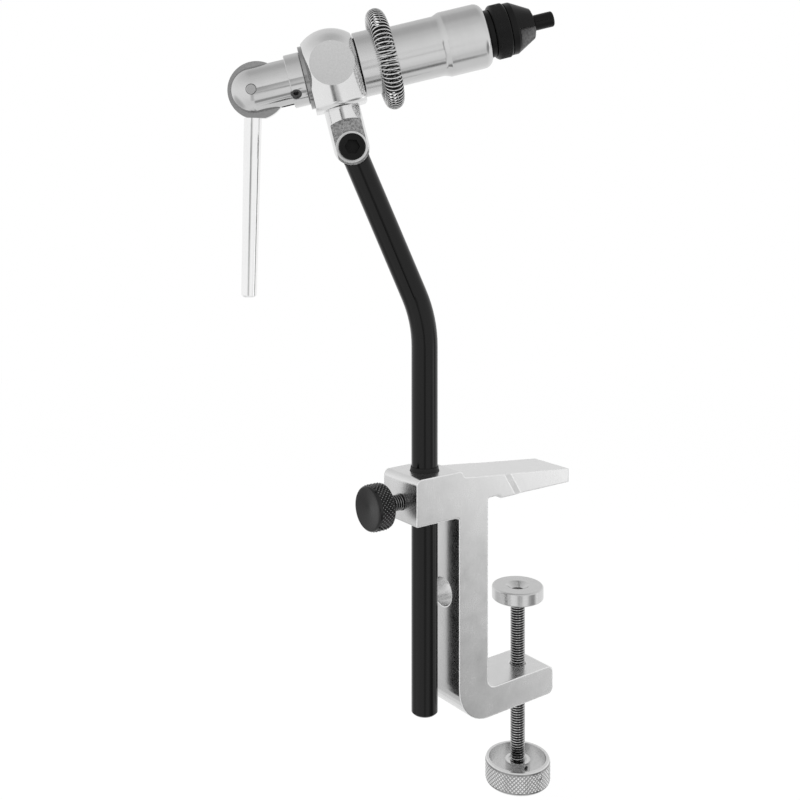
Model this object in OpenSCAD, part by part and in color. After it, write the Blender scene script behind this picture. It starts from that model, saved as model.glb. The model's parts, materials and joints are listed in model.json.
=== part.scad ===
// Rotary fly tying vise on a C-clamp, in millimetres.
// Origin: where the clamp screw's axis meets the table face under the upper arm.
// +X runs along the clamp's arms, away from the stem. +Z is up.

/* [Clamp] */
// Width of the clamp across its arms
clamp_w = 20.5; // [19:0.5:26]
// From the clamp screw to the stem
stem_reach = 47.7; // [46:0.1:60]
// From the stem to the free end of the block
block_end = 11.5; // [11:0.1:16]
// Height of the block above the table face
block_h = 13.4; // [12:0.1:18]
// Depth of the block below the table face
block_drop = 3.8; // [2:0.1:6]
// From the stem's surface to the spine
spine_gap = 3.7; // [2.5:0.1:6]
// Thickness of the spine
spine_t = 14.1; // [12:0.1:18]
// Opening between the two arms
throat_h = 72.1; // [66:0.1:100]
// Thickness of the lower arm
lower_arm_t = 10.9; // [8:0.1:16]
// From the clamp screw to the end of the lower arm
lower_arm_end = 9.5; // [8:0.1:14]
// From the clamp screw to the tip of the upper arm
upper_arm_end = 19.2; // [10:0.1:30]
// Thickness of the upper arm at its root
upper_arm_root = 10.9; // [8:0.1:11.5]
// Thickness of the upper arm at its tip
upper_arm_tip = 5.5; // [4:0.1:8]
// Radius of the hole across the spine
cross_hole_r = 5.5; // [3:0.1:7]
// Depth of the cross hole's axis below the table face
cross_hole_z = 34.6; // [25:0.1:45]

/* [Clamp screw] */
// Radius of the clamp screw and the lock screw
screw_r = 2.95; // [2.4:0.05:3.5]
// From the table face down to the pad at rest
pad_z = 40.7; // [30:0.1:50]
// Radius of the pad
pad_r = 10.4; // [8:0.1:12]
// Height of the pad
pad_h = 5.3; // [5:0.1:8]
// Radius of the countersink in the pad
pad_sink_r = 4.75; // [4:0.05:6]
// From the lower arm down to the knob's rim
knob_drop = 27.3; // [20:0.1:40]
// Radius of the knob
knob_r = 13.2; // [11:0.1:16]
// Height of the knob
knob_h = 8.9; // [8:0.1:14]
// Wall of the knob's cup
knob_wall = 1.7; // [1.2:0.1:3]

/* [Stem lock] */
// Radius of the lock knob
lock_knob_r = 8.6; // [7:0.05:12]
// Thickness of the lock knob
lock_knob_t = 6.9; // [6:0.1:10]
// Length of stud that shows between the lock knob and the block
lock_stud = 8; // [4:0.1:12]
// From the block's middle down to the lock screw
lock_drop = 1.5; // [0:0.1:2]

/* [Stem] */
// Radius of the stem
stem_r = 5; // [4.5:0.05:5.2]
// From the table face down to the stem's foot
stem_foot = 78.3; // [60:0.1:80]
// Height at which the stem's two straight lines meet
bend_z = 70.4; // [60:0.1:90]
// Angle of the bend
bend_angle = 23; // [15:1:30]
// Radius of the bend
bend_r = 50; // [30:1:60]
// From the bend's corner to the tilt pivot
upper_stem = 70.8; // [60:0.1:90]

/* [Head post] */
// Turn of the head about the stem
head_turn = 32; // [0:1:60]
// Tilt of the barrel above level
barrel_tilt = 14; // [5:1:25]
// From the tilt pivot to the barrel's axis
neck_len = 29.3; // [27:0.1:36]
// Radius of the neck and of the lug round the pivot
neck_r = 6.8; // [6.5:0.1:7.4]
// Radius of the post and of its dome
post_r = 14.3; // [14:0.1:16]
// Half the post's width along the barrel
post_half_w = 9.5; // [8:0.1:11]
// Height of the dome's centre above the barrel's axis
dome_rise = 2.05; // [0:0.05:3]
// From the barrel's axis down to the post's foot
post_drop = 14.2; // [12:0.1:16]
// Radius of the round flats on the post
disc_r = 8.3; // [6:0.1:9]
// From the barrel's axis to those flats
disc_n = 12.4; // [12:0.1:13]

/* [Spindle] */
// Radius of the spindle's journal
journal_r = 6; // [5:0.1:7]
// Radius of the collar behind the material spring
collar_r = 12.3; // [11.8:0.1:13]
// Radius of the barrel's middle
barrel_r = 11.45; // [9:0.05:11.5]
// Radius of the barrel's front
front_r = 12.4; // [11.6:0.1:13.5]
// From the post's middle to the barrel's front face
barrel_end = 60.1; // [58:0.1:66]
// Radius of the round at the barrel's front
front_round = 3.3; // [1:0.1:3.3]

/* [Material spring] */
// From the post's middle to the material spring
spring_u = 20.2; // [18.5:0.1:20.5]
// Radius of the ring that the coils are wound round
spring_ring_r = 15.9; // [15.8:0.05:17]
// Radius of the coil's middle line
coil_r = 3.3; // [2.6:0.05:3.4]
// Radius of the coil's wire
coil_wire_r = 0.3; // [0.2:0.01:0.32]
// Number of curls
curls = 70; // [50:1:72]

/* [Nose] */
// Radius of the black collar on the barrel's face
neck_collar_r = 9.1; // [8:0.1:10]
// Length of that collar
neck_collar_len = 2; // [1.5:0.1:3]
// Radius of the adjusting ring
ring_r = 10.5; // [9.5:0.1:12]
// Length of the adjusting ring
ring_len = 6.2; // [5:0.1:8]
// Radius of the nose cone's base
nose_r = 10; // [9:0.1:11]
// Length of the nose cone's straight base
nose_base_len = 2.1; // [2.1:0.1:4]
// Length of the nose cone's taper
nose_taper_len = 7.4; // [6:0.1:10]
// Radius at the end of the taper
nose_tip_r = 5.9; // [5:0.1:7]
// Radius of the closed jaws
jaw_r = 3; // [2:0.1:3]
// Length of jaw that stands out of the nose
jaw_out = 7.9; // [6:0.1:14]

/* [Tail] */
// Radius of the tail's flange
flange_r = 10.1; // [9.5:0.1:12]
// Length of the tail's flange
flange_len = 5.7; // [5:0.1:8]
// Radius of the tail and of its round end
tail_r = 9; // [8:0.1:9.4]
// From the post's middle to the lever's pin
pin_u = 30.9; // [30:0.1:36]
// Radius of the lever's pin
pin_r = 2; // [1.5:0.1:2.5]
// Width of the slot that holds the cam
slot_w = 6.1; // [4:0.1:7]

/* [Lever] */
// Radius of the lever's cam
cam_r = 10.85; // [10.8:0.05:11]
// How far the cam's centre lies off the pin
cam_throw = 1.78; // [1.6:0.01:1.8]
// Length of the lever's rod below the cam
rod_len = 66.8; // [50:0.1:80]
// Radius of the rod at the cam
rod_top_r = 3.3; // [2.8:0.05:3.4]
// Radius of the rod at its end
rod_end_r = 2.9; // [2.2:0.05:3.2]
// Lean of the rod away from upright
rod_lean = 1.25; // [0:0.25:4]

/* [Hidden] */
$fn = 64;

// Clearances and small edges that many pieces share
overrun = 1;
fit_gap = 0.05;
face_gap = 0.05;
part_gap = 0.3;
edge = 0.4;
arc_step = 9;
fine_steps = 96;

// Clamp: places along X and small details
stem_x = -stem_reach;
end_x = stem_x - block_end;
spine_l = stem_x + stem_r + spine_gap;
spine_r = spine_l + spine_t;
foot_z = -throat_h - lower_arm_t;
block_round = 2.3;
step_start = 1.2;
step_run = 1.6;
step_round = 1.7;
groove_w = 6.7;
groove_d = 1.2;
groove_round = 0.8;
block_inner_round = 1.3;
throat_round = 4;
arm_round = 2.3;
heel_round = 14;
relief_d = 0.5;
relief_top = 7.1;
relief_foot = 14.2;
relief_ramp = 3;
relief_lean = atan((relief_foot - relief_top) / upper_arm_root);
hole_chamfer = 0.6;

// Bush and lock
bush_wall = 0.45;
bush_bore_r = stem_r + fit_gap;
bush_r = bush_bore_r + bush_wall;
bush_rise = 1.6;
bush_lip = 0.2;
bush_slit = 1.2;
lock_z = (block_h - block_drop) / 2 - lock_drop;
lock_hole_r = screw_r + fit_gap;
lock_pad_len = 2.2;
lock_face_r_share = 0.9;
lock_knob_sink = 0.9;
lock_knob_bore_share = 0.8;
lock_tip_x = stem_x - bush_r - lock_pad_len - face_gap;
lock_knob_x = end_x - lock_stud;

// Pad and its shoulder screw
pad_top = -pad_z;
pad_foot = pad_top - pad_h;
pad_sink_d = 1.9;
pad_screw_r = 2.5;
pad_screw_head_t = 1.6;
pad_screw_sink = 0.3;
pad_screw_shank_r = 1.45;
pad_screw_shank = 6;
pad_boss_t = 0.7;
pad_edge = 0.5;
pad_hex_r = 1.6;
pad_hex_d = 1.1;
screw_top = pad_foot - pad_boss_t - face_gap;

// Knob of the clamp screw
knob_top = foot_z - knob_drop;
knob_foot = knob_top - knob_h;
knob_cup_d = 5.6;
knob_hub_r = 5;
knob_hub_sink = 0.8;
knob_recess_r = 3.75;
knob_recess_d = 0.9;
knob_screw_depth_share = 0.78;
knob_edge = 0.6;
grub_r = 0.9;
grub_len = 1.5;
grub_hex_share = 0.5;
grub_z_share = 0.7;

// Stem and pivot
stem_edge = 0.6;
stem_core_len = 2;
bend_tangent = bend_r * tan(bend_angle / 2);
pivot_h = -upper_stem * sin(bend_angle);
pivot_z = bend_z + upper_stem * cos(bend_angle);
lap_gap = 0.05;
bolt_r = screw_r;
bolt_hole_r = bolt_r + fit_gap;
bolt_head_r = 5;
bolt_head_h = 4.6;
bolt_hex_r = 2.9;
bolt_hex_d = 2.6;
bolt_edge = 0.5;
bolt_depth_share = 0.8;
washer_r = 6;
washer_t = 0.8;
spot_n = 3.4;
spot_rise = 16;
spot_centre = 5.3;

// Head post and spindle
post_round = 2.2;
bush_t = 1.5;
bush_len = 7.2;
rear_washer_t = 1.35;
rear_washer_r = 12;
front_washer_t = 0.5;
front_washer_r = 10.4;
collar_u = post_half_w + front_washer_t + 2 * face_gap;
tail_u = post_half_w + rear_washer_t + 2 * face_gap;
collar_end = 24;
cone_start = 41.2;
cone_len = 2.4;
spring_seat_gap = 0.1;
rod_core_r = 3;
rod_gap = 0.2;
rod_bore_r = rod_core_r + rod_gap;
chamber_r = 4.8;
chamber_start = 30;

// Nose: places along the barrel, in front of its face
shank_r = 7;
shank_len = 10;
ring_start = barrel_end + neck_collar_len + 2 * face_gap;
ring_end = ring_start + ring_len;
nose_start = ring_end + face_gap;
taper_start = nose_start + nose_base_len;
taper_end = taper_start + nose_taper_len;
nose_edge_len = 0.7;
nose_end = taper_end + nose_edge_len;
nose_face_r = 4.1;
jaw_gap = 0.5;
nose_bore_r = jaw_r + jaw_gap;
nose_socket_step = 0.1;
nose_socket_end = taper_start + nose_socket_step;
nose_mouth_r = 4.6;
nose_mouth_len = 0.8;
ring_edge = 0.8;
spigot_end = nose_socket_end - part_gap;
jaw_chamber_r = 5;
head_inset = 1.8;
head_start = ring_start + head_inset;
rod_head_r = 4.4;
rod_head_len = 2;
flat_rise = 1.6;
flat_n = 3.15;
flat_inset = 1;
flat_start = taper_start + flat_inset;

// Jaws
jaw_pivot_u = head_start + rod_head_len + part_gap;
jaw_end = nose_end + jaw_out;
jaw_split = 0.05;
jaw_foot_r = 4.4;
jaw_foot_len = 1.2;
jaw_waist_r = 3.2;
jaw_flare_r = 4;
jaw_flare_half = 0.6;
jaw_flare_u = nose_socket_end - jaw_flare_half;
jaw_flare_end = nose_socket_end + jaw_flare_half;
jaw_round = 0.7;

// Coil of the material spring: rings to a curl and sides to a ring
coil_rings = 8;
coil_sides = 6;
coil_count = curls * coil_rings;

// Tail, cam and lever
journal_end = flange_len + tail_u;
tail_ball_offset = 0.5;
tail_ball_u = pin_u - tail_ball_offset;
pin_edge = 0.3;
pin_sink = 0.15;
pin_half = tail_r - pin_sink;
set_screw_r = 2;
set_screw_inset = 1.35;
set_screw_u = journal_end - set_screw_inset;
set_screw_dip = 35;
set_screw_len = 3;
set_screw_hex_r = 1.1;
set_screw_hex_d = 1.3;
push_end = 18;
cam_gap = 0.25;
cam_w = slot_w - 2 * cam_gap;
cam_phase = 4;
cam_flat_z = 10.2;
rod_x = 0.4;
stud_r = 1.8;
stud_len = 5;
rod_edge = 0.7;
rod_dimple_r = 0.9;
return_wall = 1.1;

// Polygon helpers: an outline whose corners carry their own radius
function unit(v) = v / norm(v);
function cross_z(a, b) = a[0] * b[1] - a[1] * b[0];
function turned(v, a) = [v[0] * cos(a) - v[1] * sin(a), v[0] * sin(a) + v[1] * cos(a)];
function corner(before, at, after, r) =
    let (
        back = unit(before - at),
        ahead = unit(after - at),
        half = acos(back * ahead) / 2,
        reach = r / tan(half),
        centre = at + unit(back + ahead) * r / sin(half),
        spoke = at + back * reach - centre,
        swing = 180 - 2 * half,
        way = cross_z(back, ahead) > 0 ? -1 : 1,
        steps = max(1, ceil(swing / arc_step))
    )
    [for (i = [0 : steps]) centre + turned(spoke, way * swing * i / steps)];
function flat2(p) = [p[0], p[1]];
function rounded(points) =
    let (n = len(points))
    [
        for (i = [0 : n - 1])
            let (p = points[i])
            for (
                q = len(p) < 3
                    ? [p]
                    : corner(flat2(points[(i + n - 1) % n]), flat2(p), flat2(points[(i + 1) % n]), p[2])
            )
                q
    ];

// Places: the head's own frames
// x along the head plane towards the jaws, y away from the viewer's side, z up
module at_head() {
    translate([stem_x, 0, 0])
        rotate([0, 0, -head_turn])
            children();
}

module at_pivot() {
    at_head()
        translate([pivot_h, 0, pivot_z])
            children();
}

module at_stem_top() {
    at_pivot()
        rotate([0, -bend_angle, 0])
            children();
}

// Origin on the barrel's axis in the middle of the post, x along the barrel to the jaws
module at_barrel() {
    at_pivot()
        rotate([0, -barrel_tilt, 0])
            translate([0, 0, neck_len])
                children();
}

// Origin on the lever's pin, -z along the lever's rod
module at_lever() {
    at_barrel()
        translate([-pin_u, 0, 0])
            rotate([0, barrel_tilt + rod_lean, 0])
                children();
}

// Turns a profile of [radius, place along the barrel] about the barrel's axis
module turned_along_barrel(points) {
    rotate([0, 90, 0])
        rotate_extrude($fn = fine_steps)
            polygon(rounded(points));
}

module rod_along_barrel(r, from, to) {
    translate([from, 0, 0])
        rotate([0, 90, 0])
            cylinder(r = r, h = to - from);
}

module tube(r, bore, h) {
    difference() {
        cylinder(r = r, h = h);
        translate([0, 0, -overrun])
            cylinder(r = bore, h = h + 2 * overrun);
    }
}

// Cylinder on z with a bevel at both ends
module bevelled_rod(r, h, bevel) {
    rotate_extrude()
        polygon([[0, 0], [r - bevel, 0], [r, bevel], [r, h - bevel], [r - bevel, h], [0, h]]);
}

module hex_hole(r, depth) {
    translate([0, 0, -depth])
        cylinder(r = r, h = depth + overrun, $fn = 6);
}

// Clamp
module clamp_outline() {
    arm_x = spine_l + step_start;
    polygon(rounded([
        [end_x, -block_drop, edge],
        [end_x, block_h, block_round],
        [arm_x, block_h, step_round],
        [arm_x + step_run, upper_arm_root, step_round],
        [upper_arm_end, upper_arm_tip, edge],
        [upper_arm_end, 0, edge],
        [spine_r + groove_w, 0],
        [spine_r + groove_w, groove_d],
        [spine_r, groove_d, groove_round],
        [spine_r, -throat_h, throat_round],
        [lower_arm_end, -throat_h, arm_round],
        [lower_arm_end, foot_z, arm_round],
        [spine_l, foot_z, heel_round],
        [spine_l, -block_drop, block_inner_round]
    ]));
}

// The tip's sides are set back a little, by a ramp beyond a slanted line
module arm_relief() {
    reach = upper_arm_end - spine_r;
    for (side = [-1, 1])
        translate([spine_r + relief_foot, side * clamp_w / 2, 0])
            rotate([0, -relief_lean, 0])
                linear_extrude(2 * reach, center = true)
                    polygon([
                        [0, 0],
                        [relief_ramp, -side * relief_d],
                        [reach, -side * relief_d],
                        [reach, side * overrun],
                        [0, side * overrun]
                    ]);
}

module clamp_frame() {
    color("silver")
        difference() {
            rotate([90, 0, 0])
                linear_extrude(clamp_w, center = true)
                    clamp_outline();
            arm_relief();
            // Bore for the stem's bush
            translate([stem_x, 0, -block_drop - overrun])
                cylinder(r = bush_r + fit_gap, h = block_h + block_drop + 2 * overrun);
            // Threaded hole for the lock screw
            translate([end_x - overrun, 0, lock_z])
                rotate([0, 90, 0])
                    cylinder(r = lock_hole_r, h = block_end + overrun);
            // Hole across the spine
            translate([spine_l - overrun, 0, -cross_hole_z])
                rotate([0, 90, 0])
                    cylinder(r = cross_hole_r, h = spine_t + 2 * overrun);
            // Threaded hole for the clamp screw, chamfered at its top
            translate([0, 0, foot_z - overrun])
                cylinder(r = screw_r + fit_gap, h = lower_arm_t + 2 * overrun);
            translate([0, 0, -throat_h - hole_chamfer])
                cylinder(r1 = screw_r + fit_gap, r2 = screw_r + fit_gap + hole_chamfer + overrun,
                    h = hole_chamfer + overrun);
        }
}

module clamp_pad() {
    color("lightgray")
        difference() {
            union() {
                translate([0, 0, pad_foot])
                    bevelled_rod(pad_r, pad_h, pad_edge);
                translate([0, 0, pad_foot - pad_boss_t])
                    cylinder(r = screw_r, h = pad_boss_t + edge);
            }
            // Countersink, seat of the screw's head and hole for its shoulder
            translate([0, 0, pad_top - pad_sink_d])
                cylinder(r1 = pad_screw_r + fit_gap,
                    r2 = pad_sink_r + (pad_sink_r - pad_screw_r) * overrun / pad_sink_d,
                    h = pad_sink_d + overrun);
            translate([0, 0, pad_top - pad_sink_d - pad_screw_sink - pad_screw_head_t])
                cylinder(r = pad_screw_r + fit_gap, h = pad_screw_head_t + pad_sink_d);
            translate([0, 0, pad_foot - pad_boss_t - overrun])
                cylinder(r = pad_screw_shank_r + fit_gap, h = pad_h + pad_boss_t);
        }
}

module pad_screw() {
    head_top = pad_top - pad_sink_d - pad_screw_sink;
    color("dimgray")
        difference() {
            union() {
                translate([0, 0, head_top - pad_screw_head_t + face_gap])
                    cylinder(r = pad_screw_r, h = pad_screw_head_t - face_gap);
                translate([0, 0, screw_top - pad_screw_shank + fit_gap])
                    cylinder(r = pad_screw_shank_r,
                        h = head_top - pad_screw_head_t + edge - screw_top + pad_screw_shank);
            }
            translate([0, 0, head_top])
                hex_hole(pad_hex_r, pad_hex_d);
        }
}

module clamp_screw() {
    foot = knob_foot + knob_h * (1 - knob_screw_depth_share);
    color("dimgray")
        difference() {
            translate([0, 0, foot])
                bevelled_rod(screw_r, screw_top - foot, edge);
            translate([0, 0, screw_top - pad_screw_shank])
                cylinder(r = pad_screw_shank_r + fit_gap, h = pad_screw_shank + overrun);
        }
}

// Cross hole through the knob's wall and hub, for its grub screw
module knob_grub_hole() {
    translate([0, 0, knob_foot + knob_h * grub_z_share])
        rotate([90, 0, 0])
            cylinder(r = grub_r + fit_gap, h = knob_r + overrun);
}

module clamp_knob() {
    foot = knob_foot + knob_h * (1 - knob_screw_depth_share);
    color("silver")
        difference() {
            translate([0, 0, knob_foot])
                bevelled_rod(knob_r, knob_h, knob_edge);
            // The cup round the hub
            translate([0, 0, knob_top - knob_cup_d])
                tube(knob_r - knob_wall, knob_hub_r, knob_cup_d + overrun);
            translate([0, 0, knob_top - knob_hub_sink])
                cylinder(r = knob_hub_r + edge, h = knob_hub_sink + overrun);
            translate([0, 0, knob_top - knob_hub_sink - knob_recess_d])
                cylinder(r = knob_recess_r, h = knob_recess_d + overrun);
            translate([0, 0, foot - face_gap])
                cylinder(r = screw_r + fit_gap, h = knob_h);
            knob_grub_hole();
        }
}

module knob_set_screw() {
    color("dimgray")
        translate([0, -screw_r - face_gap - fit_gap, knob_foot + knob_h * grub_z_share])
            rotate([90, 0, 0])
                difference() {
                    cylinder(r = grub_r, h = grub_len);
                    translate([0, 0, grub_len])
                        hex_hole(grub_r * grub_hex_share, grub_len * grub_hex_share);
                }
}

// Stem lock
module stem_bush() {
    bore_len = block_h + block_drop;
    color("#26262a")
        translate([stem_x, 0, -block_drop])
            difference() {
                union() {
                    cylinder(r = bush_r, h = bore_len);
                    // Tapered lip that stands out of the block
                    translate([0, 0, bore_len])
                        cylinder(r1 = bush_r, r2 = bush_bore_r + bush_lip, h = bush_rise);
                }
                translate([0, 0, -overrun])
                    cylinder(r = bush_bore_r, h = bore_len + bush_rise + 2 * overrun);
                // Slit that lets the bush close on the stem
                translate([-bush_slit / 2, 0, -overrun])
                    cube([bush_slit, 2 * bush_r, bore_len + bush_rise + 2 * overrun]);
            }
}

module lock_pad() {
    color("goldenrod")
        difference() {
            translate([stem_x - bush_r - lock_pad_len, 0, lock_z])
                rotate([0, 90, 0])
                    cylinder(r = screw_r, h = lock_pad_len + screw_r);
            translate([stem_x, 0, -block_drop - overrun])
                cylinder(r = bush_r + 2 * fit_gap, h = block_h + block_drop + 2 * overrun);
        }
}

module lock_screw() {
    start = lock_knob_x - lock_knob_t * lock_knob_bore_share;
    color("dimgray")
        translate([start + face_gap, 0, lock_z])
            rotate([0, 90, 0])
                cylinder(r = screw_r, h = lock_tip_x - start - face_gap);
}

module lock_knob() {
    color("#1d1d20")
        translate([lock_knob_x, 0, lock_z])
            rotate([0, -90, 0])
                difference() {
                    rotate_extrude()
                        polygon([
                            [0, 0],
                            [lock_knob_r - edge, 0],
                            [lock_knob_r, edge],
                            [lock_knob_r, lock_knob_t - lock_knob_sink],
                            [lock_knob_r * lock_face_r_share, lock_knob_t],
                            [lock_knob_r * lock_face_r_share - edge, lock_knob_t],
                            [0, lock_knob_t - lock_knob_sink]
                        ]);
                    translate([0, 0, -overrun])
                        cylinder(r = lock_hole_r, h = lock_knob_t * lock_knob_bore_share + overrun);
                }
}

// A short core inside the stem, across the place where the bend meets a straight length
module stem_core(z) {
    translate([0, 0, z])
        cylinder(r = stem_r / 2, h = stem_core_len, center = true);
}

// Stem: foot, bend, upper length and the flat tongue of the lap joint
module stem_rod() {
    straight_top = bend_z - bend_tangent;
    at_head() {
        translate([0, 0, -stem_foot])
            rotate_extrude()
                polygon([
                    [0, 0],
                    [stem_r - stem_edge, 0],
                    [stem_r, stem_edge],
                    [stem_r, stem_foot + straight_top],
                    [0, stem_foot + straight_top]
                ]);
        translate([-bend_r, 0, straight_top])
            rotate([90, 0, 0])
                rotate_extrude(angle = bend_angle)
                    translate([bend_r, 0])
                        circle(r = stem_r);
        stem_core(straight_top);
    }
    at_stem_top() {
        translate([0, 0, bend_tangent - upper_stem])
            cylinder(r = stem_r, h = upper_stem - bend_tangent);
        stem_core(bend_tangent - upper_stem);
    }
}

module stem() {
    color("#1b1b1e")
        difference() {
            union() {
                stem_rod();
                at_stem_top()
                    intersection() {
                        translate([0, 0, -overrun])
                            cylinder(r = stem_r, h = stem_r + 2 * overrun);
                        rotate([90, 0, 0])
                            cylinder(r = stem_r, h = 2 * stem_r, center = true);
                    }
            }
            // Front half cut away round the lug
            at_pivot()
                rotate([90, 0, 0])
                    translate([0, 0, -lap_gap])
                        cylinder(r = neck_r + part_gap, h = 2 * stem_r);
            at_pivot()
                rotate([90, 0, 0])
                    cylinder(r = bolt_hole_r, h = 4 * stem_r, center = true);
        }
}

module pivot_washer() {
    color("silver")
        at_pivot()
            rotate([90, 0, 0])
                translate([0, 0, spot_n + face_gap])
                    tube(washer_r, bolt_hole_r, washer_t);
}

module pivot_bolt() {
    head_n = spot_n + washer_t + 2 * face_gap;
    color("#1b1b1e")
        at_pivot()
            rotate([90, 0, 0])
                difference() {
                    union() {
                        translate([0, 0, -stem_r * bolt_depth_share])
                            cylinder(r = bolt_r, h = head_n + stem_r);
                        translate([0, 0, head_n])
                            rotate_extrude()
                                polygon([
                                    [0, 0],
                                    [bolt_head_r, 0],
                                    [bolt_head_r, bolt_head_h - bolt_edge],
                                    [bolt_head_r - bolt_edge, bolt_head_h],
                                    [0, bolt_head_h]
                                ]);
                    }
                    translate([0, 0, head_n + bolt_head_h])
                        hex_hole(bolt_hex_r, bolt_hex_d);
                }
}

// Head post: a round post with a domed top, flats at its sides and a lug below
module post_body() {
    intersection() {
        union() {
            translate([0, 0, dome_rise])
                sphere(r = post_r, $fn = fine_steps);
            rotate_extrude($fn = fine_steps)
                polygon(rounded([
                    [0, -post_drop],
                    [post_r, -post_drop, post_round],
                    [post_r, dome_rise],
                    [0, dome_rise]
                ]));
        }
        cube([2 * post_half_w, 4 * post_r, 4 * post_r], center = true);
    }
}

module neck() {
    difference() {
        union() {
            translate([0, 0, -neck_len])
                cylinder(r = neck_r, h = neck_len);
            translate([0, 0, -neck_len])
                rotate([90, 0, 0])
                    intersection() {
                        cylinder(r = neck_r, h = neck_r);
                        translate([0, -neck_r, 0])
                            rotate([-90, 0, 0])
                                cylinder(r = neck_r, h = neck_r + overrun);
                    }
        }
        // Back half cut away for the stem's tongue
        translate([-2 * neck_r, -lap_gap, -neck_len - 2 * neck_r])
            cube([4 * neck_r, 2 * neck_r, 2 * neck_r + stem_r + part_gap]);
        // Spot face for the washer, with a round top edge
        translate([0, -spot_n, -neck_len - spot_centre])
            rotate([90, 0, 0])
                cylinder(r = spot_rise, h = 2 * neck_r);
        translate([0, 0, -neck_len])
            rotate([90, 0, 0])
                cylinder(r = bolt_hole_r, h = 4 * neck_r, center = true);
    }
}

module head_post() {
    color("gainsboro")
        at_barrel()
            difference() {
                union() {
                    difference() {
                        post_body();
                        // Round flats on the front and the back
                        for (side = [-1, 1])
                            translate([0, side * disc_n, dome_rise])
                                rotate([-side * 90, 0, 0])
                                    cylinder(r = disc_r, h = post_r);
                    }
                    translate([0, 0, dome_rise])
                        rotate([90, 0, 0])
                            cylinder(r = disc_r, h = 2 * disc_n, center = true);
                    neck();
                }
                rod_along_barrel(journal_r + fit_gap + bush_t,
                    -post_half_w - overrun, post_half_w + overrun);
            }
}

module bush_in_post(from) {
    color("peru")
        at_barrel()
            difference() {
                rod_along_barrel(journal_r + bush_t, from, from + bush_len);
                rod_along_barrel(journal_r + fit_gap, from - overrun, from + bush_len + overrun);
            }
}

module rear_bush() {
    bush_in_post(-post_half_w);
}

module front_bush() {
    bush_in_post(post_half_w - bush_len);
}

// Spindle and what turns with it
module spindle() {
    color("silver")
        at_barrel()
            difference() {
                turned_along_barrel([
                    [0, -journal_end],
                    [journal_r, -journal_end],
                    [journal_r, collar_u],
                    [collar_r, collar_u, edge],
                    [collar_r, collar_end, edge],
                    [barrel_r, collar_end],
                    [barrel_r, cone_start],
                    [front_r, cone_start + cone_len, edge],
                    [front_r, barrel_end, front_round],
                    [0, barrel_end]
                ]);
                // Seat of the material spring
                translate([spring_u, 0, 0])
                    rotate([0, 90, 0])
                        rotate_extrude($fn = fine_steps)
                            translate([spring_ring_r, 0])
                                circle(r = coil_r + coil_wire_r + spring_seat_gap);
                rod_along_barrel(rod_bore_r, -journal_end - overrun, barrel_end + overrun);
                rod_along_barrel(chamber_r, chamber_start, barrel_end - shank_len + overrun);
                rod_along_barrel(shank_r + fit_gap, barrel_end - shank_len, barrel_end + overrun);
            }
}

module rear_washer() {
    color("silver")
        at_barrel()
            difference() {
                rod_along_barrel(rear_washer_r, face_gap - tail_u, -post_half_w - face_gap);
                rod_along_barrel(journal_r + fit_gap, -tail_u - overrun, 0);
            }
}

module front_washer() {
    color("#1d1d20")
        at_barrel()
            difference() {
                rod_along_barrel(front_washer_r, post_half_w + face_gap, collar_u - face_gap);
                rod_along_barrel(journal_r + fit_gap, 0, collar_u + overrun);
            }
}

module set_screw_places() {
    for (side = [-1, 1])
        translate([-set_screw_u, 0, 0])
            rotate([-side * (90 + set_screw_dip), 0, 0])
                children();
}

module tail_housing() {
    color("gainsboro")
        at_barrel()
            difference() {
                union() {
                    turned_along_barrel([
                        [0, -tail_ball_u],
                        [tail_r, -tail_ball_u],
                        [tail_r, -journal_end - edge / 2],
                        [flange_r, -journal_end - edge / 2, edge],
                        [flange_r, -tail_u, edge],
                        [0, -tail_u]
                    ]);
                    translate([-tail_ball_u, 0, 0])
                        sphere(r = tail_r, $fn = fine_steps);
                }
                rod_along_barrel(journal_r + fit_gap, -journal_end - edge / 2, overrun);
                // Slot for the cam
                translate([-journal_end - 2 * pin_u, -slot_w / 2, -2 * tail_r])
                    cube([2 * pin_u, slot_w, 4 * tail_r]);
                translate([-pin_u, 0, 0])
                    rotate([90, 0, 0])
                        cylinder(r = pin_r, h = 4 * tail_r, center = true);
                set_screw_places()
                    cylinder(r = set_screw_r + fit_gap, h = 2 * flange_r);
            }
}

module tail_set_screws() {
    color("dimgray")
        at_barrel()
            set_screw_places()
                translate([0, 0, journal_r + face_gap])
                    difference() {
                        cylinder(r = set_screw_r, h = set_screw_len);
                        translate([0, 0, set_screw_len])
                            hex_hole(set_screw_hex_r, set_screw_hex_d);
                    }
}

module lever_pin() {
    color("silver")
        at_barrel()
            translate([-pin_u, pin_half, 0])
                rotate([90, 0, 0])
                    bevelled_rod(pin_r - fit_gap, 2 * pin_half, pin_edge);
}

// Material spring: one closed coil round the barrel
function coil_spin(i) = 360 * i / coil_rings;
function coil_turn(i) = 360 * i / coil_count;
function coil_out(i) =
    [cos(coil_turn(i)) * cos(coil_spin(i)), sin(coil_turn(i)) * cos(coil_spin(i)), sin(coil_spin(i))];
function coil_point(i) =
    [cos(coil_turn(i)), sin(coil_turn(i)), 0] * spring_ring_r + coil_out(i) * coil_r;
function coil_ahead(i) = unit(coil_point(i + 1) - coil_point(i - 1));
function coil_ring(i) =
    let (out = coil_out(i), side = unit(cross(coil_ahead(i), out)))
    [
        for (k = [0 : coil_sides - 1])
            let (a = 360 * k / coil_sides)
                coil_point(i) + coil_wire_r * (out * cos(a) + side * sin(a))
    ];
coil_least_gap = min([
    for (i = [0 : 2 * coil_rings])
        for (k = [coil_rings / 2 + 1 : coil_rings * 3 / 2])
            norm(coil_point(i) - coil_point(i + k)) - 2 * coil_wire_r
]);
echo(least_gap_between_curls = coil_least_gap);  // material_spring

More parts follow.
